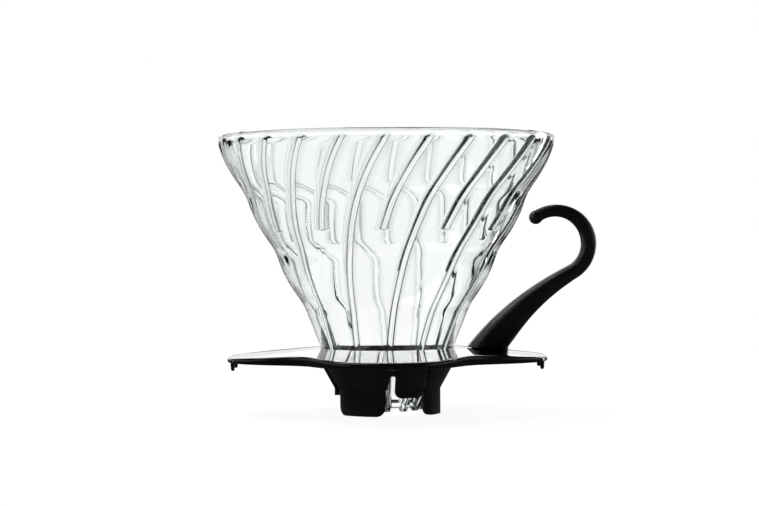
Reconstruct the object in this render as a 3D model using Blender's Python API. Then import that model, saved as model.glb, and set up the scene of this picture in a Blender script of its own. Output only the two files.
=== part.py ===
"""Pour over dripper: a ribbed glass cone in a black plastic holder with a hook handle.

Metres, +Z up. Z = 0 is the plane under the three long legs, and X = Y = 0 is the middle
of the whole object. The cone stands AXIS_X to one side of it, with the handle at +X.
Sizes below are in millimetres, and angles in degrees, counted from -Y towards +X.
"""
import math

import bmesh
import bpy
from mathutils import Vector

MM = 0.001
GAP = 0.3

# glass cone
RIM_R = 58.2
RIM_TOP = 96.4
OUTLET_Z = 1.1
OUTLET_BORE_R = 9.6
SEAT_Z = 22.7
SEAT_R = 22.9
SEAT_SLOPE = 0.5
TIER_FOOT_Z = 35.2
TIER_FOOT_R = 27.7
TIER_HEIGHT = 19.4
TIER_COUNT = 3
TIER_SWELL = 1.0
TIER_RISE = 0.33
TIER_SHIFT = 0.07
BORE_TOP_R = 55.0
BORE_TOP_Z = 94.0
BORE_SLOPE = 0.505
NECK_BORE_SLOPE = 0.36
SEAT_BORE_SLOPE = 0.55

# spiral ribs on the inside of the cone
RIB_COUNT = 24
RIB_HALF_WIDTH = 1.0
RIB_FOOT = 0.35
RIB_HEIGHT = 1.3
RIB_TOP_Z = 94.4
SHORT_RIB_Z = 64.0
TWIST = 38.0
TWIST_LENGTH = 50.0
RIB_START = 0.9

# holder plate
PLATE_Z = 17.95
PLATE_TOP_Z = 22.8
PLATE_FALL = 0.097
NOTCH_R = 40.0
FRONT_LOBE_R = 50.0
LOBE_R = 55.3
LOBE_BLUNTNESS = 1.5
EDGE_ROUND = 0.95
PEG_X = 53.0
PEG_Y = 8.0
PEG_LENGTH = 2.7
PEG_R = 0.8

# collar, legs and clips
BEND_Z = 8.6
SKIRT_R = 18.3
SKIRT_WALL = 2.0
COLLAR_TOP_R = 22.6
LEG_TURN = 120.0
LEG_MIDDLE = -32.4
LEG_START = 57.0
WIDE_LEG_START = 45.0
CLIP_Z = 6.2
ARCH_Z = 13.9
SLOT_Z = 16.2

# handle
HOOK_X = 58.5
HOOK_Z = 58.25
HOOK_R = 11.35
HOOK_FROM = -57.0
HOOK_TO = 127.0
HOOK_STROKE = 5.4
NECK_STROKE = 4.2
BALL_R = 2.4
FOOT_LEFT = 27.5
FOOT_RIGHT = 41.9
FOOT_LIP_Z = 22.6
FOOT_TOE_X = 29.0
FOOT_HALF_WIDTH = 5.5
UPPER_RISE = (52.0, 15.4)
UPPER_LEAVE = (27.0, 17.0)
LOWER_RISE = (52.0, 6.5)
LOWER_LEAVE = (32.4, 17.8)
HOOK_HALF_WIDTH = 3.4
SECTION_POINTS = 18

# screw under the handle's foot
SCREW_X = 35.5
SCREW_R = 1.5
SCREW_TOP_Z = 28.0
HEAD_R = 2.9
HEAD_HEIGHT = 1.3
SINK_DEPTH = 1.7

HANDLE_REACH = HOOK_X + HOOK_R + HOOK_STROKE / 2
AXIS_X = (RIM_R - HANDLE_REACH) / 2


def clear_scene():
    for thing in list(bpy.data.objects):
        bpy.data.objects.remove(thing, do_unlink=True)


def make_material(name, colour, roughness, metallic=0.0, glass=False):
    material = bpy.data.materials.new(name)
    material.use_nodes = True
    shader = material.node_tree.nodes["Principled BSDF"]
    shader.inputs["Base Color"].default_value = (*colour, 1.0)
    shader.inputs["Roughness"].default_value = roughness
    shader.inputs["Metallic"].default_value = metallic
    if glass:
        shader.inputs["Transmission Weight"].default_value = 1.0
        shader.inputs["IOR"].default_value = 1.47
    return material


def make_object(name, bm, material=None, smooth_angle=30.0):
    """Put a bmesh made in millimetres round the cone's axis into the scene."""
    for vert in bm.verts:
        vert.co = Vector((vert.co.x + AXIS_X, vert.co.y, vert.co.z)) * MM
    bmesh.ops.recalc_face_normals(bm, faces=bm.faces)
    mesh = bpy.data.meshes.new(name)
    bm.to_mesh(mesh)
    bm.free()
    mesh.shade_smooth()
    mesh.set_sharp_from_angle(angle=math.radians(smooth_angle))
    thing = bpy.data.objects.new(name, mesh)
    bpy.context.scene.collection.objects.link(thing)
    if material:
        mesh.materials.append(material)
    return thing


def add_boolean(thing, other, operation):
    """Cut or join with a helper object, which stays in the file as a wire guide."""
    modifier = thing.modifiers.new(other.name, "BOOLEAN")
    modifier.operation = operation
    modifier.solver = "EXACT"
    modifier.object = other
    other.hide_render = True
    other.display_type = "WIRE"


def on_circle(radius, degrees, z):
    angle = math.radians(degrees)
    return Vector((radius * math.sin(angle), -radius * math.cos(angle), z))


def smooth_step(value):
    value = min(1.0, max(0.0, value))
    return value * value * (3 - 2 * value)


def bridge_rings(bm, rings, closed):
    """Quads between neighbouring rings of vertices, and back to the first if closed."""
    pairs = list(zip(rings, rings[1:]))
    if closed:
        pairs.append((rings[-1], rings[0]))
    for low, high in pairs:
        count = len(low)
        for i in range(count):
            j = (i + 1) % count
            bm.faces.new((low[i], low[j], high[j], high[i]))


# ---- glass cone ----

def tier_swell(part):
    """A short hollow curve out of each crease, and then a long bulging one up to the next."""
    part = (part + TIER_SHIFT) % 1.0
    if part < TIER_RISE:
        wave = part * part / TIER_RISE - part
    else:
        rest = part - TIER_RISE
        wave = rest - rest * rest / (1 - TIER_RISE)
    return TIER_SWELL * (4 * wave + TIER_RISE)


def cone_outside(z):
    """Outer radius: a plain seat, a plain neck, and then the tiers."""
    if z <= SEAT_Z:
        return SEAT_R - SEAT_SLOPE * (SEAT_Z - z)
    if z <= TIER_FOOT_Z:
        foot = TIER_FOOT_R + tier_swell(0.0)
        return SEAT_R + (foot - SEAT_R) * (z - SEAT_Z) / (TIER_FOOT_Z - SEAT_Z)
    part = (z - TIER_FOOT_Z) / TIER_HEIGHT % 1.0
    slope = (RIM_R - TIER_FOOT_R) / (TIER_COUNT * TIER_HEIGHT)
    return min(RIM_R, TIER_FOOT_R + slope * (z - TIER_FOOT_Z) + tier_swell(part))


def cone_inside(z):
    """Inner wall: straight cones beside the tiers, below them and beside the seat, then the outlet."""
    radius = BORE_TOP_R - BORE_SLOPE * (BORE_TOP_Z - max(TIER_FOOT_Z, min(z, BORE_TOP_Z)))
    radius -= NECK_BORE_SLOPE * (TIER_FOOT_Z - max(SEAT_Z, min(z, TIER_FOOT_Z)))
    radius -= SEAT_BORE_SLOPE * (SEAT_Z - min(z, SEAT_Z))
    return max(OUTLET_BORE_R, radius)


def rib_turn(z):
    """The ribs turn quickly near the rim and ever more slowly on the way down."""
    return RIB_START - TWIST * (1 - math.exp(-(RIM_TOP - 1.4 - z) / TWIST_LENGTH))


def rib_height(z, is_long):
    if z > RIB_TOP_Z:
        return 0.0
    if not is_long and z < SHORT_RIB_Z:
        return 0.0
    return RIB_HEIGHT


def outside_ring(bm, radius, z):
    """Five points for each rib, on a plain circle."""
    return [bm.verts.new(on_circle(radius, degrees, z)) for degrees, _ in rib_points(z)]


def rib_points(z):
    """Angle and share of the rib's height, for the points of every rib at one level."""
    pitch = 360.0 / RIB_COUNT
    radius = cone_inside(min(z, BORE_TOP_Z))
    crest = min(0.3 * pitch, math.degrees(RIB_HALF_WIDTH / radius))
    foot = min(0.43 * pitch, math.degrees((RIB_HALF_WIDTH + RIB_FOOT) / radius))
    points = []
    for rib in range(RIB_COUNT):
        middle = rib * pitch + rib_turn(z)
        is_long = rib % 2 == 0
        for offset, share in ((-foot, 0), (-crest, 1), (crest, 1), (foot, 0), (pitch / 2, 0)):
            points.append((middle + offset, share * rib_height(z, is_long)))
    return points


def inside_ring(bm, z):
    radius = cone_inside(z)
    return [bm.verts.new(on_circle(radius - height, degrees, z)) for degrees, height in rib_points(z)]


def inside_levels():
    """Levels down the bore, with a close pair where the short ribs and the lip band end."""
    return [RIB_TOP_Z + 0.3, RIB_TOP_Z - 3.0, 84.0, 74.0, SHORT_RIB_Z + 0.1, SHORT_RIB_Z - 0.5,
            53.0, 44.0, TIER_FOOT_Z, SEAT_Z, 15.0, 9.0, OUTLET_Z + 0.5]


def outside_levels():
    """Levels up the outside: the seat, then the hollow and the swell of each tier."""
    levels = [OUTLET_Z + 0.6, BEND_Z, SEAT_Z]
    for tier in range(TIER_COUNT):
        for part in (0.0, 0.13, 0.28, 0.47, 0.66, 0.83):
            levels.append(TIER_FOOT_Z + (tier + part) * TIER_HEIGHT)
    return levels


def make_glass_cone(material):
    bm = bmesh.new()
    rings = [outside_ring(bm, cone_outside(z), z) for z in outside_levels()]
    middle = (BORE_TOP_R + RIM_R) / 2
    half = RIM_R - middle
    for degrees in (0, 45, 90, 135):
        angle = math.radians(degrees)
        z = RIM_TOP - half * (1 - math.sin(angle))
        rings.append(outside_ring(bm, middle + half * math.cos(angle), z))
    rings += [inside_ring(bm, z) for z in inside_levels()]
    rings.append(outside_ring(bm, OUTLET_BORE_R + 0.7, OUTLET_Z))
    rings.append(outside_ring(bm, cone_outside(OUTLET_Z) - 0.6, OUTLET_Z))
    bridge_rings(bm, rings, closed=True)
    return make_object("glass_cone", bm, material)


# ---- holder ----

def lobe_radius(degrees):
    """Edge of the plate: four blunt lobes, longer at the sides than at the front and back."""
    share = (1 + math.cos(math.radians(4 * degrees))) / 2
    lobe = FRONT_LOBE_R + (LOBE_R - FRONT_LOBE_R) * math.sin(math.radians(degrees)) ** 2
    return NOTCH_R + (lobe - NOTCH_R) * (1 - (1 - share) ** LOBE_BLUNTNESS)


def plate_top(radius):
    return PLATE_TOP_Z - PLATE_FALL * (radius - SEAT_R)


def collar_inside(z):
    return cone_outside(max(z, BEND_Z)) + GAP / math.cos(math.atan(SEAT_SLOPE))


def plate_ring(bm, angles, share, inset, drop):
    """A ring a share of the way out to the lobed edge, some way under the domed top."""
    ring = []
    for degrees in angles:
        edge = lobe_radius(degrees) - inset
        radius = SEAT_R + share * (edge - SEAT_R)
        ring.append(bm.verts.new(on_circle(radius, degrees, plate_top(radius) - drop)))
    return ring


def underside_ring(bm, angles, inset, z):
    return [bm.verts.new(on_circle(lobe_radius(a) - inset, a, z)) for a in angles]


def round_ring(bm, angles, radius, z):
    return [bm.verts.new(on_circle(radius, a, z)) for a in angles]


def make_plate_and_skirt(material):
    """Plate, sloping collar and a full skirt in one closed body, still without slots."""
    angles = [i * 360.0 / 96 for i in range(96)]
    below_feet = -1.0
    skirt_inside = SKIRT_R - SKIRT_WALL
    bm = bmesh.new()
    rings = [round_ring(bm, angles, collar_inside(PLATE_TOP_Z) + 0.1, PLATE_TOP_Z)]
    for share in (0.35, 0.7):
        rings.append(plate_ring(bm, angles, share, 0.0, 0.0))
    rings.append(plate_ring(bm, angles, 1.0, EDGE_ROUND, 0.0))
    rings.append(plate_ring(bm, angles, 1.0, 0.3 * EDGE_ROUND, 0.3 * EDGE_ROUND))
    rings.append(plate_ring(bm, angles, 1.0, 0.0, EDGE_ROUND))
    rings.append(underside_ring(bm, angles, 0.0, PLATE_Z + 0.5 * EDGE_ROUND))
    rings.append(underside_ring(bm, angles, 0.5 * EDGE_ROUND, PLATE_Z))
    rings.append(round_ring(bm, angles, COLLAR_TOP_R + 1.2, PLATE_Z))
    rings.append(round_ring(bm, angles, COLLAR_TOP_R, PLATE_Z - 1.2))
    rings.append(round_ring(bm, angles, SKIRT_R, BEND_Z))
    rings.append(round_ring(bm, angles, SKIRT_R, below_feet))
    rings.append(round_ring(bm, angles, skirt_inside, below_feet))
    rings.append(round_ring(bm, angles, skirt_inside, BEND_Z))
    bridge_rings(bm, rings, closed=True)
    return make_object("holder", bm, material)


def leg_outline(turn):
    """Corners (degrees, height, corner radius) of one third of the skirt's lower edge.

    The leg under the handle is wider than the others and reaches closer to its clip.
    """
    start = WIDE_LEG_START if turn == 0 else LEG_START
    return [(LEG_MIDDLE, 0.0, 0.0), (-2.8, 0.0, 3.3), (-1.8, BEND_Z, 2.0), (2.4, ARCH_Z, 1.0),
            (8.0, ARCH_Z, 1.0), (8.4, CLIP_Z, 2.2), (42.0, CLIP_Z, 2.2), (37.5, SLOT_Z, 0.4),
            (start - 4.0, SLOT_Z, 0.4), (start - 0.5, BEND_Z, 2.0), (start + 0.5, 0.0, 3.3)]


def round_corner(before, corner, after, radius, steps=4):
    """Points of the arc that rounds one corner of an outline."""
    to_before = (before - corner).normalized()
    to_after = (after - corner).normalized()
    half_angle = to_before.angle(to_after) / 2
    reach = radius / math.tan(half_angle)
    middle = corner + (to_before + to_after).normalized() * radius / math.sin(half_angle)
    start = corner + to_before * reach - middle
    end = corner + to_after * reach - middle
    return [middle + radius * start.slerp(end, i / steps) for i in range(steps + 1)]


def skirt_edge():
    """The skirt's whole lower edge as (degrees, height), with its corners rounded."""
    to_mm = math.radians(SKIRT_R)
    corners = []
    for turn in range(3):
        for degrees, z, radius in leg_outline(turn):
            corners.append((Vector(((degrees + turn * LEG_TURN) * to_mm, z)), radius))
    round_trip = Vector((3 * LEG_TURN * to_mm, 0.0))
    points = []
    for i, (corner, radius) in enumerate(corners):
        if radius == 0.0:
            points.append(corner)
            continue
        before = corners[i - 1][0]
        after = corners[i + 1][0] if i + 1 < len(corners) else corners[0][0] + round_trip
        points += round_corner(before, corner, after, radius)
    return [(point.x / to_mm, point.y) for point in points]


def make_slot_cutter():
    """A crown that cuts away everything under the legs, the clips and the slots' arches."""
    bm = bmesh.new()
    edge = skirt_edge()
    near, far, floor = OUTLET_BORE_R, SEAT_R + 1.0, -3.0
    rings = []
    for radius, flat in ((near, True), (near, False), (far, False), (far, True)):
        rings.append([bm.verts.new(on_circle(radius, a, floor if flat else z)) for a, z in edge])
    bridge_rings(bm, rings, closed=True)
    return make_object("slot_cutter", bm)


def add_turned(bm, x, y, profile, segments):
    """A solid turned round a vertical line, from (radius, height) pairs, with flat ends."""
    rings = []
    for radius, z in profile:
        ring = []
        for i in range(segments):
            angle = 2 * math.pi * i / segments
            ring.append(bm.verts.new((x + radius * math.cos(angle), y + radius * math.sin(angle), z)))
        rings.append(ring)
    bridge_rings(bm, rings, closed=False)
    bm.faces.new(rings[0])
    bm.faces.new(rings[-1])


def make_pegs():
    """Four small tapered pegs under the side lobes."""
    bm = bmesh.new()
    tip = PLATE_Z - PEG_LENGTH
    profile = [(PEG_R, PLATE_Z + 0.8), (PEG_R, PLATE_Z - 0.2), (0.8 * PEG_R, tip + 0.3), (0.4 * PEG_R, tip)]
    for x in (-PEG_X, PEG_X):
        for y in (-PEG_Y, PEG_Y):
            add_turned(bm, x, y, profile, 10)
    return make_object("peg_shapes", bm)


def make_screw_hole():
    """Clearance hole for the handle's screw, sunk from below for its head."""
    bm = bmesh.new()
    sink = PLATE_Z + SINK_DEPTH
    profile = [(HEAD_R + GAP, PLATE_Z - 1), (HEAD_R + GAP, sink), (SCREW_R + GAP, sink),
               (SCREW_R + GAP, PLATE_TOP_Z + 1)]
    add_turned(bm, SCREW_X, 0.0, profile, 20)
    return make_object("screw_hole", bm)


def make_holder(material):
    holder = make_plate_and_skirt(material)
    add_boolean(holder, make_slot_cutter(), "DIFFERENCE")
    add_boolean(holder, make_pegs(), "UNION")
    add_boolean(holder, make_screw_hole(), "DIFFERENCE")
    return holder


# ---- handle ----

def direction(degrees):
    angle = math.radians(degrees)
    return Vector((math.cos(angle), math.sin(angle)))


def hook_point(degrees, radius=HOOK_R):
    return Vector((HOOK_X, HOOK_Z)) + radius * direction(degrees)


def bend(start, rise, end, leave, part):
    """A point on a smooth curve, pulled along its first slope and back along its last."""
    first = start + direction(rise[0]) * rise[1]
    second = end - direction(leave[0]) * leave[1]
    rest = 1 - part
    return (rest ** 3 * start + 3 * rest ** 2 * part * first
            + 3 * rest * part ** 2 * second + part ** 3 * end)


def shank_section(part):
    """The shank lies between a long upper curve and a shorter lower one, foot to hook."""
    half = HOOK_STROKE / 2
    upper = bend(Vector((FOOT_LEFT, FOOT_LIP_Z)), UPPER_RISE,
                 hook_point(HOOK_FROM, HOOK_R - half), UPPER_LEAVE, part)
    lower = bend(Vector((FOOT_RIGHT, FOOT_LIP_Z)), LOWER_RISE,
                 hook_point(HOOK_FROM, HOOK_R + half), LOWER_LEAVE, part)
    across = lower - upper
    return (upper + lower) / 2, math.atan2(across.y, across.x), across.length


def section_ring(bm, middle, across, stroke, half_width):
    """One rounded oval across the handle, tilted by the angle across."""
    ring = []
    for i in range(SECTION_POINTS):
        angle = 2 * math.pi * i / SECTION_POINTS
        c, s = math.cos(angle), math.sin(angle)
        along = stroke / 2 * math.copysign(abs(c) ** 0.85, c)
        side = half_width * math.copysign(abs(s) ** 0.85, s)
        ring.append(bm.verts.new((middle.x + along * math.cos(across), side,
                                  middle.y + along * math.sin(across))))
    return ring


def foot_rings(bm):
    """The foot's underside follows the plate and is shorter than its lip on the left."""
    toe_z = plate_top(FOOT_TOE_X) + GAP
    heel_z = plate_top(FOOT_RIGHT) + GAP
    middle = Vector(((FOOT_TOE_X + FOOT_RIGHT) / 2, (toe_z + heel_z) / 2))
    across = math.atan2(heel_z - toe_z, FOOT_RIGHT - FOOT_TOE_X)
    stroke = FOOT_RIGHT - FOOT_TOE_X
    lip = Vector(((FOOT_LEFT + FOOT_RIGHT) / 2, FOOT_LIP_Z))
    return [section_ring(bm, middle, across, stroke, FOOT_HALF_WIDTH - 0.5),
            section_ring(bm, lip, 0.0, FOOT_RIGHT - FOOT_LEFT, FOOT_HALF_WIDTH)]


def shank_rings(bm, steps=11):
    rings = []
    for step in range(1, steps):
        part = step / steps
        middle, across, stroke = shank_section(part)
        half_width = FOOT_HALF_WIDTH + (HOOK_HALF_WIDTH - FOOT_HALF_WIDTH) * smooth_step(part)
        rings.append(section_ring(bm, middle, across, stroke, half_width))
    return rings


def hook_rings(bm, steps=16):
    """Along the hook the stroke thins out to a neck behind a small ball at the tip."""
    rings = []
    neck_at = HOOK_TO - math.degrees(1.2 * BALL_R / HOOK_R)
    for step in range(steps + 1):
        degrees = HOOK_FROM + (neck_at - HOOK_FROM) * step / steps
        thin = smooth_step((degrees - 5) / (neck_at - 15))
        stroke = HOOK_STROKE + (NECK_STROKE - HOOK_STROKE) * thin
        half_width = HOOK_HALF_WIDTH + (NECK_STROKE / 2 - HOOK_HALF_WIDTH) * thin
        rings.append(section_ring(bm, hook_point(degrees), math.radians(degrees), stroke, half_width))
    return rings + ball_rings(bm, (-25, 5, 35, 65))


def ball_rings(bm, slopes):
    """The ball, in rings set square to the hook's end."""
    rings = []
    for slope in slopes:
        middle = hook_point(HOOK_TO) + BALL_R * math.sin(math.radians(slope)) * direction(HOOK_TO + 90)
        size = BALL_R * math.cos(math.radians(slope))
        rings.append(section_ring(bm, middle, math.radians(HOOK_TO), 2 * size, size))
    return rings


def make_screw_pocket():
    bm = bmesh.new()
    reach = SCREW_R + GAP
    add_turned(bm, SCREW_X, 0.0, [(reach, PLATE_TOP_Z - 4), (reach, SCREW_TOP_Z + GAP)], 20)
    return make_object("screw_pocket", bm)


def make_handle(material):
    bm = bmesh.new()
    rings = foot_rings(bm) + shank_rings(bm) + hook_rings(bm)
    bridge_rings(bm, rings, closed=False)
    bm.faces.new(rings[0])
    bm.faces.new(rings[-1])
    handle = make_object("handle", bm, material, smooth_angle=40.0)
    add_boolean(handle, make_screw_pocket(), "DIFFERENCE")
    return handle


def make_cross_cutter(bottom):
    """Cross recess in the screw's head."""
    bm = bmesh.new()
    for long_side, short_side in ((3.4, 0.8), (0.8, 3.4)):
        box = bmesh.ops.create_cube(bm, size=1.0)["verts"]
        for vert in box:
            vert.co = Vector((SCREW_X + vert.co.x * long_side, vert.co.y * short_side,
                              bottom + vert.co.z * 1.4))
    return make_object("cross_cutter", bm)


def make_screw(material):
    bottom = PLATE_Z + 0.1
    shoulder = bottom + HEAD_HEIGHT
    profile = [(HEAD_R - 0.3, bottom), (HEAD_R, bottom + 0.3), (HEAD_R, shoulder), (SCREW_R, shoulder),
               (SCREW_R, SCREW_TOP_Z - 1.5), (0.4, SCREW_TOP_Z)]
    bm = bmesh.new()
    add_turned(bm, SCREW_X, 0.0, profile, 20)
    screw = make_object("handle_screw", bm, material)
    cross = make_cross_cutter(bottom)
    add_boolean(screw, cross, "DIFFERENCE")
    screw.modifiers[-1].use_self = True
    return screw


def main():
    clear_scene()
    glass = make_material("clear_glass", (0.93, 0.97, 0.95), 0.02, glass=True)
    black = make_material("black_plastic", (0.012, 0.010, 0.010), 0.22)
    handle_black = make_material("black_handle_plastic", (0.014, 0.010, 0.010), 0.28)
    steel = make_material("screw_steel", (0.55, 0.55, 0.56), 0.35, metallic=1.0)
    make_glass_cone(glass)
    make_holder(black)
    make_handle(handle_black)
    make_screw(steel)


main()
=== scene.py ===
import math

import bmesh
import bpy
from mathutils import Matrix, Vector


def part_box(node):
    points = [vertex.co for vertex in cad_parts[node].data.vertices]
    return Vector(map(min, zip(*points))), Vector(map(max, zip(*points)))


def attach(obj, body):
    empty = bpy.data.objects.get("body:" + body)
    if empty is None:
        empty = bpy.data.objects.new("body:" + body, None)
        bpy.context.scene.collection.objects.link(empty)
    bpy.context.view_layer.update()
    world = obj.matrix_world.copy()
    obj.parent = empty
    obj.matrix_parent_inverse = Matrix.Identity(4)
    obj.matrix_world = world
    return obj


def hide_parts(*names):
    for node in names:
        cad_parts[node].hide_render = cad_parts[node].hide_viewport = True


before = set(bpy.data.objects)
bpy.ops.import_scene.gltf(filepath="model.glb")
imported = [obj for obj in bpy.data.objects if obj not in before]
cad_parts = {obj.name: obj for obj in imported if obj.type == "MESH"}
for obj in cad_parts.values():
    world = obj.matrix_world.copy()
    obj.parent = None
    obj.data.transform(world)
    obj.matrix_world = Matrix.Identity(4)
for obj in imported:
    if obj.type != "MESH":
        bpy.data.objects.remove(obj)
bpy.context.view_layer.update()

# Looks of the pour over dripper. The object's lengths are in millimetres round the cone's axis,
# and make_piece turns them into metres. The studio's own lengths are in metres.
MM = 0.001

glass_low, glass_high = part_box("glass_cone")
holder_low, holder_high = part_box("holder")

AXIS_X = (glass_low.x + glass_high.x) / 2 / MM

# glass cone
BOX_MARGIN = 0.05
RIM_R = (glass_high.y - glass_low.y) / 2 / MM - BOX_MARGIN
RIM_TOP = glass_high.z / MM
OUTLET_Z = glass_low.z / MM
OUTLET_BORE_R = 9.6
SEAT_Z = 22.7
SEAT_R = 22.9
SEAT_SLOPE = 0.5
TIER_FOOT_Z = 35.2
TIER_FOOT_R = 27.7
TIER_HEIGHT = 19.4
TIER_COUNT = 3
TIER_SWELL = 1.0
TIER_RISE = 0.33
TIER_SHIFT = 0.07
BORE_TOP_R = 55.0
BORE_TOP_Z = 94.0
BORE_SLOPE = 0.505
NECK_BORE_SLOPE = 0.36
SEAT_BORE_SLOPE = 0.55

# spiral ribs inside the cone
RIB_COUNT = 24
RIB_HALF_WIDTH = 1.1
RIB_HEIGHT = 0.85
RIB_SHOULDER = 0.6
RIB_FLANK = 80.0
RIB_CREST = 12.0
RIB_STEPS = 14
GROOVE_STEPS = 4
RIB_WIDEST_SHARE = 0.44
RIB_TOP_Z = 94.8
RIB_TOP_FADE = 1.6
RIB_TOP_HEIGHT = 0.6
RIB_THIN_Z = 45.0
RIB_THIN_FADE = 40.0
SHORT_RIB_Z = 64.0
SHORT_RIB_FADE = 0.6
TWIST = 38.0
TWIST_LENGTH = 50.0
TWIST_TOP_Z = RIM_TOP - 1.4
RIB_START = 0.9
FLUTE_DEPTH = 1.3
FLUTE_TOP_Z = OUTLET_Z + FLUTE_DEPTH + 0.4

# painted shade along the edges of the ribs and the rim: start, rise, stop and fall of each band,
# in degrees
RIB_SHADE_BAND = (42.0, 18.0, RIB_FLANK + 6, 12.0)
RIM_SHADE_BAND = (10.0, 30.0, 130.0, 30.0)
# how strong the painted shade along the rim's outer edge is
RIM_SHADE = 0.45
RIM_STEPS = 16

# holder
LOBE_R = (holder_high.x - holder_low.x) / 2 / MM
PLATE_TOP_Z = holder_high.z / MM
PLATE_Z = 17.95
PLATE_FALL = 0.097
NOTCH_R = 40.0
FRONT_LOBE_R = 50.0
LOBE_BLUNTNESS = 1.5
PLATE_STEPS = 288
EDGE_ROUND = 0.95
UNDER_ROUND = 0.6 * EDGE_ROUND
PEG_X = 53.0
PEG_Y = 8.0
PEG_LENGTH = 2.7
PEG_R = 0.8
PEG_ROOT = 0.5
PEG_SHAFT = 0.2
# each step of a peg's tip: share of its radius, and height above the tip
PEG_TIP = ((0.82, 0.55), (0.7, 0.25), (0.4, 0.05), (0.1, 0.0))
BEND_Z = 8.6
SKIRT_R = 18.3
SKIRT_WALL = 2.0
SKIRT_BLANK_Z = -1.0
CUTTER_FOOT_Z = -3.0
COLLAR_TOP_R = 22.6
COLLAR_FILLET = 1.6
LEG_TURN = 120.0
LEG_MIDDLE = -32.4
LEG_START = 57.0
WIDE_LEG_START = 45.0
CLIP_Z = 6.2
ARCH_Z = 13.9
SLOT_Z = 16.2
GAP = 0.3

# handle
HOOK_X = 58.5
HOOK_Z = 58.25
HOOK_R = 11.35
HOOK_FROM = -57.0
HOOK_TO = 127.0
HOOK_STROKE = 5.34
HOOK_HALF_WIDTH = 3.4
NECK_STROKE = 4.2
NECK_START = 5.0
NECK_MARGIN = 10.0
NECK_TO_BALL = 1.2
BALL_R = 2.4
BALL_SPREAD = (-25, 85, 12)
FOOT_LEFT = 27.5
FOOT_RIGHT = 41.9
FOOT_LIP_Z = 22.6
FOOT_TOE_X = 29.0
FOOT_HALF_WIDTH = 5.5
FOOT_FLARE = 0.5
FOOT_EASE = 0.2
# the shank's two curves at the foot and at the hook: direction in degrees, and length of pull
UPPER_RISE = (52.0, 15.4)
UPPER_LEAVE = (27.0, 17.0)
LOWER_RISE = (52.0, 6.5)
LOWER_LEAVE = (32.4, 17.8)
SECTION_POINTS = 40
SECTION_POWER = 0.85

# materials: colours run from a dark one to a light one, and roughness from low to high
RAMP_ENDS = (0.35, 0.65)
GLASS_IOR = 1.47
GLASS_TINT = ((0.985, 0.995, 0.990), (0.995, 1.0, 0.998))
# colour of the painted shade along the rib edges and the rim
GLASS_PAINTED_SHADE = (0.22, 0.25, 0.25, 1)
GLASS_INSIDE = (0.715, 0.79, 0.78, 1)
GLASS_DENSITY = 50.0
PLASTIC_IOR = 1.5
GLOSSY_BLACK = ((0.002, 0.0014, 0.0016), (0.004, 0.003, 0.0033))
GLOSSY_ROUGHNESS = (0.03, 0.05)
GLOSSY_GRAIN = 0.03
SATIN_BLACK = ((0.003, 0.002, 0.0022), (0.006, 0.004, 0.0042))
SATIN_ROUGHNESS = (0.24, 0.32)
SATIN_GRAIN = 0.05
STEEL_GREY = ((0.42, 0.42, 0.43), (0.62, 0.62, 0.63))
STEEL_ROUGHNESS = (0.25, 0.4)

# studio light: each fade goes from none to full between two values of a direction's X, Y or Z
ROOM_COLOUR = (1.0, 0.992, 0.985, 1)
ROOM_LIGHT = 0.05
SWEEP_FADE = (0.62, 0.93)
SWEEP_LIGHT = 1.12
GLOSS_FADE = (0.06, 0.2)
GLOSS_LIGHT = 1.2
FLAG_FADE = (0.2, 0.36)
FLAG_DEPTH = 0.45
SIDE_FADE = (0.72, 0.95)
SIDE_LIGHT = 0.5
BELOW_FADE = (-0.07, -0.17)
WING_FADE = (0.4, 0.6)
WING_LIGHT = 0.9
FRONT_FADE = (-0.7, -0.92)
FRONT_LIGHT = 0.9
UNLIT_FADE = (0.03, -0.02)

# softboxes: name, place, width and height, and power
SOFTBOXES = (
    ("top_softbox", (-0.35, 0.15, 0.9), (0.6, 0.6), 3.0),
    ("right_strip", (0.512, 0.48, 0.15), (0.05, 0.6), 0.7),
    ("left_strip", (-0.573, 0.40, 0.15), (0.04, 0.6), 0.1),
)
SOFTBOX_TARGET = (0, 0, 0.05)

# studio floor, with a dark band in front whose back and front edges are fades along Y
FLOOR_REACH = 0.38
FLOOR_DROP = 0.0002
FLOOR_STEPS = 96
FLOOR_GREY = 0.25
FLOOR_GLOW = 0.93
BAND_DEPTH = 0.8
BAND_BACK = (0.02, -0.06)
BAND_FRONT = (-0.26, -0.14)

# camera
CAMERA_LENS = 102.8
CAMERA_ASIDE = 2.5
CAMERA_AWAY = 0.75
CAMERA_HEIGHT = 0.066
CAMERA_TILT = 0.82
CAMERA_ROLL = 0.35


# ---- helpers ----

def on_circle(radius, degrees, z):
    angle = math.radians(degrees)
    return (radius * math.sin(angle), -radius * math.cos(angle), z)


def smooth_step(value):
    value = min(1.0, max(0.0, value))
    return value * value * (3 - 2 * value)


def smooth_band(value, start, rise, stop, fall):
    """A smooth rise after the start, and a smooth fall before the stop."""
    return smooth_step((value - start) / rise) * smooth_step((stop - value) / fall)


def spread(low, high, count):
    return [low + (high - low) * i / count for i in range(count + 1)]


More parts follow.
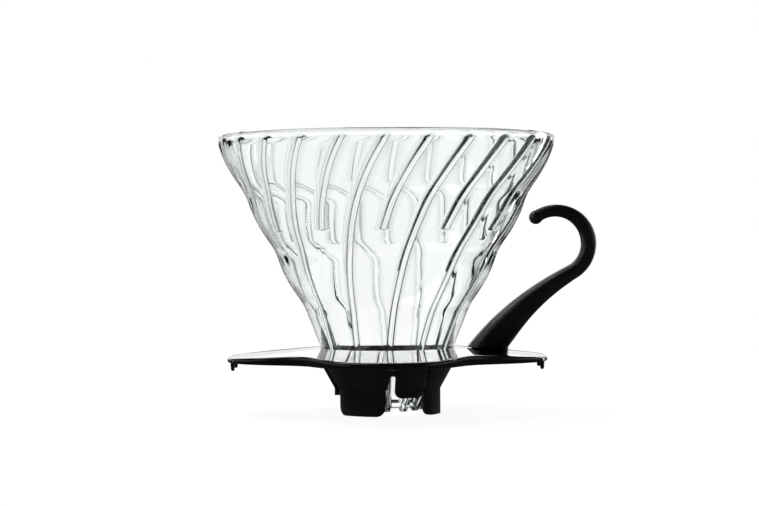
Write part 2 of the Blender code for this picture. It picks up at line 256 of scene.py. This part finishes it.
def make_piece(name, rings, closed, material, smooth_angle=40.0, caps=False):
    """A mesh from rings of points, joined by quads and turned outwards."""
    points = [point for ring in rings for point in ring]
    count = len(rings[0])
    pairs = list(zip(range(len(rings) - 1), range(1, len(rings))))
    if closed:
        pairs.append((len(rings) - 1, 0))
    faces = []
    for low, high in pairs:
        for i in range(count):
            j = (i + 1) % count
            faces.append((low * count + i, low * count + j, high * count + j, high * count + i))
    if caps:
        faces.append(tuple(range(count)))
        faces.append(tuple((len(rings) - 1) * count + i for i in range(count)))
    mesh = bpy.data.meshes.new(name)
    mesh.from_pydata([((x + AXIS_X) * MM, y * MM, z * MM) for x, y, z in points], [], faces)
    bm = bmesh.new()
    bm.from_mesh(mesh)
    bmesh.ops.recalc_face_normals(bm, faces=bm.faces)
    bm.to_mesh(mesh)
    bm.free()
    mesh.shade_smooth()
    mesh.set_sharp_from_angle(angle=math.radians(smooth_angle))
    piece = bpy.data.objects.new(name, mesh)
    bpy.context.scene.collection.objects.link(piece)
    if material:
        mesh.materials.append(material)
    return piece


def apply_modifiers(piece):
    """Keep the piece's shape with its modifiers worked in."""
    graph = bpy.context.evaluated_depsgraph_get()
    mesh = bpy.data.meshes.new_from_object(piece.evaluated_get(graph))
    piece.modifiers.clear()
    piece.data = mesh


def add_boolean(piece, other, operation):
    modifier = piece.modifiers.new(other.name, "BOOLEAN")
    modifier.operation = operation
    modifier.solver = "EXACT"
    modifier.object = other


# ---- shader nodes ----

class Graph:
    """The nodes of one material or of the world. A value is a number or a node's output."""

    def __init__(self, tree):
        self.nodes = tree.nodes
        self.links = tree.links

    def add(self, kind):
        return self.nodes.new("ShaderNode" + kind)

    def link(self, output, socket):
        self.links.new(output, socket)

    def maths(self, operation, first, second=0.0):
        node = self.add("Math")
        node.operation = operation
        for socket, value in zip(node.inputs, (first, second)):
            if isinstance(value, float):
                socket.default_value = value
            else:
                self.link(value, socket)
        return node.outputs["Value"]

    def plus(self, first, second):
        return self.maths("ADD", first, second)

    def times(self, first, second):
        return self.maths("MULTIPLY", first, second)

    def most(self, first, second):
        return self.maths("MAXIMUM", first, second)

    def fade(self, value, ends):
        """0 at the first end, 1 at the second, and a smooth rise between them."""
        node = self.add("MapRange")
        node.interpolation_type = "SMOOTHSTEP"
        node.inputs["From Min"].default_value, node.inputs["From Max"].default_value = ends
        self.link(value, node.inputs["Value"])
        return node.outputs["Result"]

    def between(self, factor, low, high):
        """The factor, stretched to run from low to high."""
        node = self.add("MapRange")
        node.inputs["To Min"].default_value = low
        node.inputs["To Max"].default_value = high
        self.link(factor, node.inputs["Value"])
        return node.outputs["Result"]

    def axes(self, kind):
        """X, Y and Z of one kind of texture coordinates."""
        split = self.add("SeparateXYZ")
        self.link(self.add("TexCoord").outputs[kind], split.inputs["Vector"])
        return split.outputs["X"], split.outputs["Y"], split.outputs["Z"]

    def noise(self, scale, detail=3.0):
        """Noise that stays put on the piece."""
        node = self.add("TexNoise")
        node.inputs["Scale"].default_value = scale
        node.inputs["Detail"].default_value = detail
        self.link(self.add("TexCoord").outputs["Object"], node.inputs["Vector"])
        return node.outputs["Fac"]

    def ramp(self, factor, low, high):
        node = self.add("ValToRGB")
        first, last = node.color_ramp.elements
        first.position, last.position = RAMP_ENDS
        first.color = (*low, 1)
        last.color = (*high, 1)
        self.link(factor, node.inputs["Fac"])
        return node.outputs["Color"]

    def bump(self, shader, height, strength, distance):
        node = self.add("Bump")
        node.inputs["Strength"].default_value = strength
        node.inputs["Distance"].default_value = distance
        self.link(height, node.inputs["Height"])
        self.link(node.outputs["Normal"], shader.inputs["Normal"])


# ---- materials ----

def new_material(name):
    material = bpy.data.materials.new(name)
    material.use_nodes = True
    graph = Graph(material.node_tree)
    return material, graph, graph.nodes["Principled BSDF"]


def glass_material():
    """Pressed clear glass: a faint green tint, painted shade along the rib edges and the rim, and
    a slight wave from the mould.
    """
    material, graph, shader = new_material("clear_pressed_glass")
    shader.inputs["Transmission Weight"].default_value = 1.0
    shader.inputs["IOR"].default_value = GLASS_IOR
    shader.inputs["Roughness"].default_value = 0.0
    wave = graph.noise(45.0, 2.0)
    tint = graph.ramp(wave, *GLASS_TINT)
    # painted shade: a stored attribute darkens the glass colour along the rib edges and the rim
    edge = graph.add("Attribute")
    edge.attribute_name = "painted_rib_shade"
    darken = graph.add("Mix")
    darken.data_type = "RGBA"
    graph.link(edge.outputs["Fac"], darken.inputs["Factor"])
    graph.link(tint, darken.inputs["A"])
    darken.inputs["B"].default_value = GLASS_PAINTED_SHADE
    graph.link(darken.outputs["Result"], shader.inputs["Base Color"])
    graph.bump(shader, wave, 0.02, 0.0003)
    absorption = graph.add("VolumeAbsorption")
    absorption.inputs["Color"].default_value = GLASS_INSIDE
    absorption.inputs["Density"].default_value = GLASS_DENSITY
    graph.link(absorption.outputs["Volume"], graph.nodes["Material Output"].inputs["Volume"])
    return material


def plastic_material(name, colours, roughness, grain):
    """Moulded plastic: fine grain in the gloss, and a hint of colour variation."""
    material, graph, shader = new_material(name)
    graph.link(graph.ramp(graph.noise(60.0), *colours), shader.inputs["Base Color"])
    graph.link(graph.between(graph.noise(90.0), *roughness), shader.inputs["Roughness"])
    shader.inputs["IOR"].default_value = PLASTIC_IOR
    graph.bump(shader, graph.noise(300.0, 2.0), grain, 0.00005)
    return material


def steel_material():
    """Plain screw steel with fine turning marks."""
    material, graph, shader = new_material("screw_steel_plain")
    shader.inputs["Metallic"].default_value = 1.0
    marks = graph.noise(1500.0)
    graph.link(graph.ramp(marks, *STEEL_GREY), shader.inputs["Base Color"])
    graph.link(graph.between(marks, *STEEL_ROUGHNESS), shader.inputs["Roughness"])
    graph.bump(shader, marks, 0.2, 0.0001)
    return material


# ---- glass cone ----

def tier_swell(part):
    """A short hollow curve out of each crease, and then a long bulging one up to the next."""
    part = (part + TIER_SHIFT) % 1.0
    if part < TIER_RISE:
        wave = part * part / TIER_RISE - part
    else:
        rest = part - TIER_RISE
        wave = rest - rest * rest / (1 - TIER_RISE)
    return TIER_SWELL * (4 * wave + TIER_RISE)


def cone_outside(z):
    if z <= SEAT_Z:
        return SEAT_R - SEAT_SLOPE * (SEAT_Z - z)
    if z <= TIER_FOOT_Z:
        foot = TIER_FOOT_R + tier_swell(0.0)
        return SEAT_R + (foot - SEAT_R) * (z - SEAT_Z) / (TIER_FOOT_Z - SEAT_Z)
    part = (z - TIER_FOOT_Z) / TIER_HEIGHT % 1.0
    slope = (RIM_R - TIER_FOOT_R) / (TIER_COUNT * TIER_HEIGHT)
    return min(RIM_R, TIER_FOOT_R + slope * (z - TIER_FOOT_Z) + tier_swell(part))


def cone_inside(z):
    """Inner wall: straight cones beside the tiers, below them and at the seat, then the bore."""
    radius = BORE_TOP_R - BORE_SLOPE * (BORE_TOP_Z - max(TIER_FOOT_Z, min(z, BORE_TOP_Z)))
    radius -= NECK_BORE_SLOPE * (TIER_FOOT_Z - max(SEAT_Z, min(z, TIER_FOOT_Z)))
    radius -= SEAT_BORE_SLOPE * (SEAT_Z - min(z, SEAT_Z))
    return max(OUTLET_BORE_R, radius)


def rib_turn(z):
    """The ribs turn quickly near the rim and ever more slowly on the way down."""
    return RIB_START - TWIST * (1 - math.exp(-(TWIST_TOP_Z - z) / TWIST_LENGTH))


def rib_height(z, is_long):
    """Ribs rise under the plain lip band and grow on the way down. The short ones end square."""
    top = smooth_step((RIB_TOP_Z - z) / RIB_TOP_FADE)
    end = 1.0 if is_long else smooth_step((z - SHORT_RIB_Z) / SHORT_RIB_FADE)
    thin = smooth_step((z - RIB_THIN_Z) / RIB_THIN_FADE)
    full = RIB_HEIGHT - (RIB_HEIGHT - RIB_TOP_HEIGHT) * thin
    return full * top * end


def rib_section():
    """Across a rib: place, height and painted edge shade. Round shoulders rise steeply to a flat
    crest.
    """
    low = math.cos(math.radians(RIB_FLANK))
    points = []
    for degrees in spread(-RIB_FLANK, RIB_FLANK, RIB_STEPS):
        slope = math.radians(degrees)
        round_part = RIB_SHOULDER * math.sin(slope) / math.sin(math.radians(RIB_FLANK))
        flat_part = math.copysign(min(1.0, abs(degrees) / RIB_CREST), degrees) * (1 - RIB_SHOULDER)
        shade = smooth_band(abs(degrees), *RIB_SHADE_BAND)
        points.append((round_part + flat_part, (math.cos(slope) - low) / (1 - low), shade))
    return points


def rib_points(z):
    """Angle, height and painted edge shade for the points of every rib at one level."""
    pitch = 360.0 / RIB_COUNT
    to_degrees = 180.0 / math.pi / cone_inside(min(z, BORE_TOP_Z))
    edge = min(RIB_HALF_WIDTH * to_degrees, RIB_WIDEST_SHARE * pitch)
    points = []
    for rib in range(RIB_COUNT):
        middle = rib * pitch + rib_turn(z)
        height = rib_height(z, rib % 2 == 0)
        for across, share, shade in rib_section():
            points.append((middle + across * edge, height * share, shade * height / RIB_HEIGHT))
        for step in range(1, GROOVE_STEPS):
            groove = (pitch - 2 * edge) * step / GROOVE_STEPS
            points.append((middle + edge + groove, 0.0, 0.0))
    return points


def plain_ring(radius, z):
    return [on_circle(radius, degrees, z) for degrees, _, _ in rib_points(z)]


def ribbed_ring(z):
    radius = cone_inside(z)
    return [on_circle(radius - height, degrees, z) for degrees, height, _ in rib_points(z)]


def fluted_ring(radius, z):
    """A ring at the outlet's end, which is cut back a little between the ribs."""
    return [on_circle(radius, degrees, z + FLUTE_DEPTH * (1 - smooth_step(height / RIB_HEIGHT)))
            for degrees, height, _ in rib_points(z)]


def shade_edges(piece, outer_count, levels):
    """Store the painted edge shade, ring by ring: none outside, then the rim's, then the ribs'."""
    across = len(rib_points(RIM_TOP))
    shades = [0.0] * (outer_count * across)
    for degrees in spread(0, 180, RIM_STEPS):
        shades += [RIM_SHADE * smooth_band(degrees, *RIM_SHADE_BAND)] * across
    for z in levels:
        shades += [shade for _, _, shade in rib_points(z)]
    shades += [0.0] * (len(piece.data.vertices) - len(shades))
    layer = piece.data.attributes.new("painted_rib_shade", "FLOAT", "POINT")
    layer.data.foreach_set("value", shades)


def outside_levels():
    """Up the outside: beside the seat, below the tiers, and then tier by tier."""
    levels = spread(FLUTE_TOP_Z, SEAT_Z, 10) + spread(SEAT_Z + 1, TIER_FOOT_Z - 0.8, 6)
    for tier in range(TIER_COUNT):
        foot = TIER_FOOT_Z + tier * TIER_HEIGHT
        levels += spread(foot, foot + TIER_HEIGHT, 22)[:-1]
    return levels


def inside_levels():
    """Down the inside, closer together where the ribs rise and where the short ones end."""
    levels = spread(RIB_TOP_Z, RIB_TOP_Z - 1.8, 8)
    levels += spread(RIB_TOP_Z - 3.0, SHORT_RIB_Z + 1.6, 20)
    levels += spread(SHORT_RIB_Z + 0.8, SHORT_RIB_Z - 0.2, 6)
    levels += spread(SHORT_RIB_Z - 1.4, FLUTE_TOP_Z, 44)
    return levels


def rim_rings():
    """Half a turn over the rim, from the outside to the inside."""
    middle = (BORE_TOP_R + RIM_R) / 2
    half = RIM_R - middle
    rings = []
    for degrees in spread(0, 180, RIM_STEPS):
        angle = math.radians(degrees)
        z = RIM_TOP - half * (1 - math.sin(angle))
        rings.append(plain_ring(middle + half * math.cos(angle), z))
    return rings


def outlet_rings():
    """Across the outlet's end, from the bore to the outside, with both corners eased."""
    outside = cone_outside(OUTLET_Z)
    return [fluted_ring(OUTLET_BORE_R + 0.5, OUTLET_Z + 0.1),
            fluted_ring(OUTLET_BORE_R + 1.0, OUTLET_Z),
            fluted_ring(outside - 0.8, OUTLET_Z),
            fluted_ring(outside - 0.2, OUTLET_Z + 0.2)]


def make_glass_cone(material):
    levels = inside_levels()
    outer = [plain_ring(cone_outside(z), z) for z in outside_levels()]
    inner = [ribbed_ring(z) for z in levels]
    rings = outer + rim_rings() + inner + outlet_rings()
    cone = make_piece("ribbed_glass_cone", rings, True, material, smooth_angle=75.0)
    shade_edges(cone, len(outer), levels)
    return cone


# ---- holder ----

def lobe_radius(degrees):
    """Edge of the plate: four blunt lobes, longer at the sides than at the front and back."""
    share = (1 + math.cos(math.radians(4 * degrees))) / 2
    lobe = FRONT_LOBE_R + (LOBE_R - FRONT_LOBE_R) * math.sin(math.radians(degrees)) ** 2
    return NOTCH_R + (lobe - NOTCH_R) * (1 - (1 - share) ** LOBE_BLUNTNESS)


def plate_top(radius):
    return PLATE_TOP_Z - PLATE_FALL * (radius - SEAT_R)


def collar_inside(z):
    return cone_outside(max(z, BEND_Z)) + GAP / math.cos(math.atan(SEAT_SLOPE))


def plate_ring(angles, share, inset, drop):
    ring = []
    for degrees in angles:
        radius = SEAT_R + share * (lobe_radius(degrees) - inset - SEAT_R)
        ring.append(on_circle(radius, degrees, plate_top(radius) - drop))
    return ring


def under_ring(angles, inset, z):
    return [on_circle(lobe_radius(a) - inset, a, z) for a in angles]


def round_ring(angles, radius, z):
    return [on_circle(radius, a, z) for a in angles]


def plate_rings(angles):
    """From the collar's mouth over the plate's top, and round its edge to the underside."""
    rings = [round_ring(angles, collar_inside(PLATE_TOP_Z) + 0.1, PLATE_TOP_Z - 0.1)]
    for share in spread(0.06, 0.92, 8):
        rings.append(plate_ring(angles, share, 0.0, 0.0))
    for degrees in spread(10, 90, 6):
        angle = math.radians(degrees)
        inset = EDGE_ROUND * (1 - math.sin(angle))
        rings.append(plate_ring(angles, 1.0, inset, EDGE_ROUND * (1 - math.cos(angle))))
    for degrees in spread(0, 90, 4):
        angle = math.radians(degrees)
        inset = UNDER_ROUND * (1 - math.cos(angle))
        rings.append(under_ring(angles, inset, PLATE_Z + UNDER_ROUND * (1 - math.sin(angle))))
    return rings


def skirt_rings(angles):
    """Down the outside of the collar and the skirt, and up its inside to the bend."""
    rings = []
    for degrees in spread(0, 90, 5):
        angle = math.radians(degrees)
        radius = COLLAR_TOP_R + COLLAR_FILLET * (1 - math.sin(angle))
        rings.append(round_ring(angles, radius, PLATE_Z - COLLAR_FILLET * (1 - math.cos(angle))))
    for share in spread(0.1, 1.0, 6):
        radius = COLLAR_TOP_R + (SKIRT_R - COLLAR_TOP_R) * share
        z = PLATE_Z - COLLAR_FILLET + (BEND_Z - PLATE_Z + COLLAR_FILLET) * share
        rings.append(round_ring(angles, radius, z))
    rings.append(round_ring(angles, SKIRT_R, SKIRT_BLANK_Z))
    rings.append(round_ring(angles, SKIRT_R - SKIRT_WALL, SKIRT_BLANK_Z))
    rings.append(round_ring(angles, SKIRT_R - SKIRT_WALL, BEND_Z))
    return rings


def leg_outline(turn):
    """Corners (degrees, height, corner radius) of one third of the skirt's lower edge.

    The leg under the handle is wider than the others and reaches closer to its clip.
    """
    start = WIDE_LEG_START if turn == 0 else LEG_START
    return [(LEG_MIDDLE, 0.0, 0.0), (-2.8, 0.0, 3.3), (-1.8, BEND_Z, 2.0), (2.4, ARCH_Z, 1.0),
            (8.0, ARCH_Z, 1.0), (8.4, CLIP_Z, 2.2), (42.0, CLIP_Z, 2.2), (37.5, SLOT_Z, 0.4),
            (start - 4.0, SLOT_Z, 0.4), (start - 0.5, BEND_Z, 2.0), (start + 0.5, 0.0, 3.3)]


def round_corner(before, corner, after, radius, steps=10):
    to_before = (before - corner).normalized()
    to_after = (after - corner).normalized()
    half_angle = to_before.angle(to_after) / 2
    reach = radius / math.tan(half_angle)
    middle = corner + (to_before + to_after).normalized() * radius / math.sin(half_angle)
    start = corner + to_before * reach - middle
    end = corner + to_after * reach - middle
    return [middle + radius * start.slerp(end, i / steps) for i in range(steps + 1)]


def skirt_edge():
    to_mm = math.radians(SKIRT_R)
    corners = []
    for turn in range(3):
        for degrees, z, radius in leg_outline(turn):
            corners.append((Vector(((degrees + turn * LEG_TURN) * to_mm, z)), radius))
    round_trip = Vector((3 * LEG_TURN * to_mm, 0.0))
    points = []
    for i, (corner, radius) in enumerate(corners):
        if radius == 0.0:
            points.append(corner)
            continue
        before = corners[i - 1][0]
        after = corners[i + 1][0] if i + 1 < len(corners) else corners[0][0] + round_trip
        points += round_corner(before, corner, after, radius)
    return [(point.x / to_mm, point.y) for point in points]


def make_slot_cutter():
    """All that is cut away from the skirt below its lower edge."""
    edge = skirt_edge()
    near, far = OUTLET_BORE_R, SEAT_R + 1.0
    rings = []
    for radius, flat in ((near, True), (near, False), (far, False), (far, True)):
        rings.append([on_circle(radius, a, CUTTER_FOOT_Z if flat else z) for a, z in edge])
    return make_piece("slot_cutter", rings, True, None)


def turned_rings(x, y, profile, segments=24):
    rings = []
    for radius, z in profile:
        turn = [2 * math.pi * i / segments for i in range(segments)]
        rings.append([(x + radius * math.cos(a), y + radius * math.sin(a), z) for a in turn])
    return rings


def make_pegs(material):
    """Four small tapered pegs with rounded tips under the side lobes."""
    tip = PLATE_Z - PEG_LENGTH
    profile = [(PEG_R, PLATE_Z + PEG_ROOT), (PEG_R, PLATE_Z - PEG_SHAFT)]
    profile += [(share * PEG_R, tip + height) for share, height in PEG_TIP]
    pegs = []
    for x, side in ((-PEG_X, "left"), (PEG_X, "right")):
        for y, end in ((-PEG_Y, "front"), (PEG_Y, "back")):
            rings = turned_rings(x, y, profile)
            pegs.append(make_piece(f"peg_{side}_{end}", rings, False, material, caps=True))
    return pegs


def make_holder(material):
    """The plate with a plain round skirt, which is then cut into the legs and the clips."""
    angles = [i * 360.0 / PLATE_STEPS for i in range(PLATE_STEPS)]
    rings = plate_rings(angles) + skirt_rings(angles)
    holder = make_piece("lobed_holder", rings, True, material, smooth_angle=35.0)
    cutter = make_slot_cutter()
    add_boolean(holder, cutter, "DIFFERENCE")
    apply_modifiers(holder)
    bpy.data.objects.remove(cutter, do_unlink=True)
    return holder


# ---- handle ----

def direction(degrees):
    angle = math.radians(degrees)
    return Vector((math.cos(angle), math.sin(angle)))


def hook_point(degrees, radius=HOOK_R):
    return Vector((HOOK_X, HOOK_Z)) + radius * direction(degrees)


def bend(start, rise, end, leave, part):
    """A point on a smooth curve, pulled along its first slope and back along its last."""
    first = start + direction(rise[0]) * rise[1]
    second = end - direction(leave[0]) * leave[1]
    rest = 1 - part
    return (rest ** 3 * start + 3 * rest ** 2 * part * first
            + 3 * rest * part ** 2 * second + part ** 3 * end)


def shank_section(part):
    """The shank lies between a long upper curve and a shorter lower one, foot to hook."""
    half = HOOK_STROKE / 2
    upper = bend(Vector((FOOT_LEFT, FOOT_LIP_Z)), UPPER_RISE,
                 hook_point(HOOK_FROM, HOOK_R - half), UPPER_LEAVE, part)
    lower = bend(Vector((FOOT_RIGHT, FOOT_LIP_Z)), LOWER_RISE,
                 hook_point(HOOK_FROM, HOOK_R + half), LOWER_LEAVE, part)
    across = lower - upper
    return (upper + lower) / 2, math.atan2(across.y, across.x), across.length


def section_ring(middle, across, stroke, half_width):
    """One rounded oval across the handle, tilted by the angle across."""
    ring = []
    for i in range(SECTION_POINTS):
        angle = 2 * math.pi * i / SECTION_POINTS
        c, s = math.cos(angle), math.sin(angle)
        along = stroke / 2 * math.copysign(abs(c) ** SECTION_POWER, c)
        side = half_width * math.copysign(abs(s) ** SECTION_POWER, s)
        x = middle.x + along * math.cos(across)
        z = middle.y + along * math.sin(across)
        ring.append((x, side, z))
    return ring


def foot_rings():
    toe_z = plate_top(FOOT_TOE_X)
    heel_z = plate_top(FOOT_RIGHT)
    middle = Vector(((FOOT_TOE_X + FOOT_RIGHT) / 2, (toe_z + heel_z) / 2))
    length = FOOT_RIGHT - FOOT_TOE_X
    across = math.atan2(heel_z - toe_z, length)
    half_width = FOOT_HALF_WIDTH - FOOT_FLARE
    above = middle + Vector((0, FOOT_EASE))
    lip = Vector(((FOOT_LEFT + FOOT_RIGHT) / 2, FOOT_LIP_Z))
    return [section_ring(middle, across, length - 2 * FOOT_EASE, half_width - FOOT_EASE),
            section_ring(above, across, length, half_width),
            section_ring(lip, 0.0, FOOT_RIGHT - FOOT_LEFT, FOOT_HALF_WIDTH)]


def shank_rings(steps=30):
    rings = []
    for step in range(1, steps):
        part = step / steps
        middle, across, stroke = shank_section(part)
        half_width = FOOT_HALF_WIDTH + (HOOK_HALF_WIDTH - FOOT_HALF_WIDTH) * smooth_step(part)
        rings.append(section_ring(middle, across, stroke, half_width))
    return rings


def hook_rings(steps=48):
    """Along the hook the stroke thins out to a neck behind a small ball at the tip."""
    rings = []
    neck_at = HOOK_TO - math.degrees(NECK_TO_BALL * BALL_R / HOOK_R)
    for step in range(steps + 1):
        degrees = HOOK_FROM + (neck_at - HOOK_FROM) * step / steps
        thin = smooth_step((degrees - NECK_START) / (neck_at - NECK_START - NECK_MARGIN))
        stroke = HOOK_STROKE + (NECK_STROKE - HOOK_STROKE) * thin
        half_width = HOOK_HALF_WIDTH + (NECK_STROKE / 2 - HOOK_HALF_WIDTH) * thin
        rings.append(section_ring(hook_point(degrees), math.radians(degrees), stroke, half_width))
    for slope in spread(*BALL_SPREAD):
        ahead = BALL_R * math.sin(math.radians(slope))
        middle = hook_point(HOOK_TO) + ahead * direction(HOOK_TO + 90)
        size = BALL_R * math.cos(math.radians(slope))
        rings.append(section_ring(middle, math.radians(HOOK_TO), 2 * size, size))
    return rings


def make_handle(material):
    rings = foot_rings() + shank_rings() + hook_rings()
    return make_piece("hook_handle", rings, False, material, smooth_angle=45.0, caps=True)


# ---- studio ----

def floor_material():
    """A pale floor that glows, but less in a band in front where it is seen through the glass."""
    material, graph, shader = new_material("studio_white")
    shader.inputs["Base Color"].default_value = (FLOOR_GREY, FLOOR_GREY, FLOOR_GREY, 1)
    shader.inputs["Roughness"].default_value = 1.0
    shader.inputs["Specular IOR Level"].default_value = 0.0
    shader.inputs["Emission Color"].default_value = (1, 1, 1, 1)
    path = graph.add("LightPath")
    _, y, _ = graph.axes("Object")
    band = graph.times(graph.fade(y, BAND_BACK), graph.fade(y, BAND_FRONT))
    loss = graph.times(graph.times(path.outputs["Is Transmission Ray"], band), -BAND_DEPTH)
    graph.link(graph.plus(loss, FLOOR_GLOW), shader.inputs["Emission Strength"])
    return material


def make_floor():
    """A disc just under the object, which runs into the white round it."""
    mesh = bpy.data.meshes.new("studio_floor")
    turn = [2 * math.pi * i / FLOOR_STEPS for i in range(FLOOR_STEPS)]
    corners = [(FLOOR_REACH * math.cos(a), FLOOR_REACH * math.sin(a), 0) for a in turn]
    mesh.from_pydata(corners, [], [tuple(range(FLOOR_STEPS))])
    mesh.materials.append(floor_material())
    floor = bpy.data.objects.new("studio_floor", mesh)
    bpy.context.scene.collection.objects.link(floor)
    floor.location.z = -FLOOR_DROP
    floor.visible_glossy = False


def sweep_light(graph, path, across, y, z):
    """The bright sweep behind, brighter high up for what is seen in gloss, and dimmer aside."""
    seen = graph.maths("MINIMUM", path["Glossy Depth"], 1.0)
    gloss = graph.times(seen, graph.times(graph.fade(z, GLOSS_FADE), GLOSS_LIGHT))
    light = graph.times(graph.fade(y, SWEEP_FADE), graph.plus(gloss, SWEEP_LIGHT))
    flag = graph.times(graph.fade(across, FLAG_FADE), -FLAG_DEPTH)
    return graph.times(light, graph.plus(flag, 1.0))


def light_through_glass(graph, path, across, y, z):
    """What only rays that went through the glass see: light below, at the sides and in front."""
    below = graph.fade(z, BELOW_FADE)
    wings = graph.times(graph.fade(across, WING_FADE), WING_LIGHT)
    front = graph.times(graph.fade(y, FRONT_FADE), FRONT_LIGHT)
    light = graph.most(below, graph.most(wings, front))
    return graph.times(light, path["Is Transmission Ray"])


def make_world():
    """White to the eye all round. As a light it is bright behind and a little at the sides, with
    extra light for what is seen through the glass, and nothing below for what is reflected. The
    dim parts left between these draw the dark lines along the ribs."""
    world = bpy.data.worlds.new("studio")
    bpy.context.scene.world = world
    world.use_nodes = True
    world.node_tree.nodes.clear()
    graph = Graph(world.node_tree)
    path = graph.add("LightPath").outputs
    x, y, z = graph.axes("Generated")
    across = graph.maths("ABSOLUTE", x)
    behind = sweep_light(graph, path, across, y, z)
    aside = graph.times(graph.fade(across, SIDE_FADE), SIDE_LIGHT)
    through = light_through_glass(graph, path, across, y, z)
    bright = graph.most(behind, graph.most(aside, through))
    unlit = graph.times(graph.fade(z, UNLIT_FADE), path["Is Reflection Ray"])
    bright = graph.times(bright, graph.maths("SUBTRACT", 1.0, unlit))
    room = graph.add("Background")
    room.inputs["Color"].default_value = ROOM_COLOUR
    graph.link(graph.plus(bright, ROOM_LIGHT), room.inputs["Strength"])
    white = graph.add("Background")
    white.inputs["Color"].default_value = (1, 1, 1, 1)
    mix = graph.add("MixShader")
    graph.link(path["Is Camera Ray"], mix.inputs[0])
    graph.link(room.outputs["Background"], mix.inputs[1])
    graph.link(white.outputs["Background"], mix.inputs[2])
    graph.link(mix.outputs["Shader"], graph.add("OutputWorld").inputs["Surface"])


def add_softbox(name, place, size, power):
    light = bpy.data.lights.new(name, "AREA")
    light.shape = "RECTANGLE"
    light.size, light.size_y = size
    light.energy = power
    lamp = bpy.data.objects.new(name, light)
    lamp.location = place
    aim = Vector(SOFTBOX_TARGET) - Vector(place)
    lamp.rotation_euler = aim.to_track_quat("-Z", "Y").to_euler()
    lamp.visible_camera = False
    bpy.context.scene.collection.objects.link(lamp)


def make_camera():
    """Level with the cone's upper part, three quarters of a metre in front."""
    camera = bpy.data.cameras.new("camera")
    camera.lens = CAMERA_LENS
    camera.sensor_width = 36.0
    camera.clip_start = 0.05
    viewer = bpy.data.objects.new("camera", camera)
    viewer.location = ((AXIS_X - CAMERA_ASIDE) * MM, -CAMERA_AWAY, CAMERA_HEIGHT)
    viewer.rotation_euler = (math.radians(90 - CAMERA_TILT), 0, 0)
    viewer.rotation_euler.rotate_axis("Z", math.radians(-CAMERA_ROLL))
    bpy.context.scene.collection.objects.link(viewer)
    bpy.context.scene.camera = viewer


def dress(piece, body, node):
    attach(piece, body)
    if node:
        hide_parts(node)


def main():
    glass = glass_material()
    gloss = plastic_material("glossy_black_plastic", GLOSSY_BLACK, GLOSSY_ROUGHNESS, GLOSSY_GRAIN)
    satin = plastic_material("satin_black_plastic", SATIN_BLACK, SATIN_ROUGHNESS, SATIN_GRAIN)
    dress(make_glass_cone(glass), "glass", "glass_cone")
    dress(make_holder(gloss), "holder", "holder")
    for peg in make_pegs(gloss):
        dress(peg, "holder", None)
    dress(make_handle(satin), "holder", "handle")
    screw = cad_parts["handle_screw"]
    screw.material_slots[0].material = steel_material()
    make_floor()
    make_world()
    for name, place, size, power in SOFTBOXES:
        add_softbox(name, place, size, power)
    make_camera()
    bpy.context.scene.view_settings.view_transform = "Standard"


main()
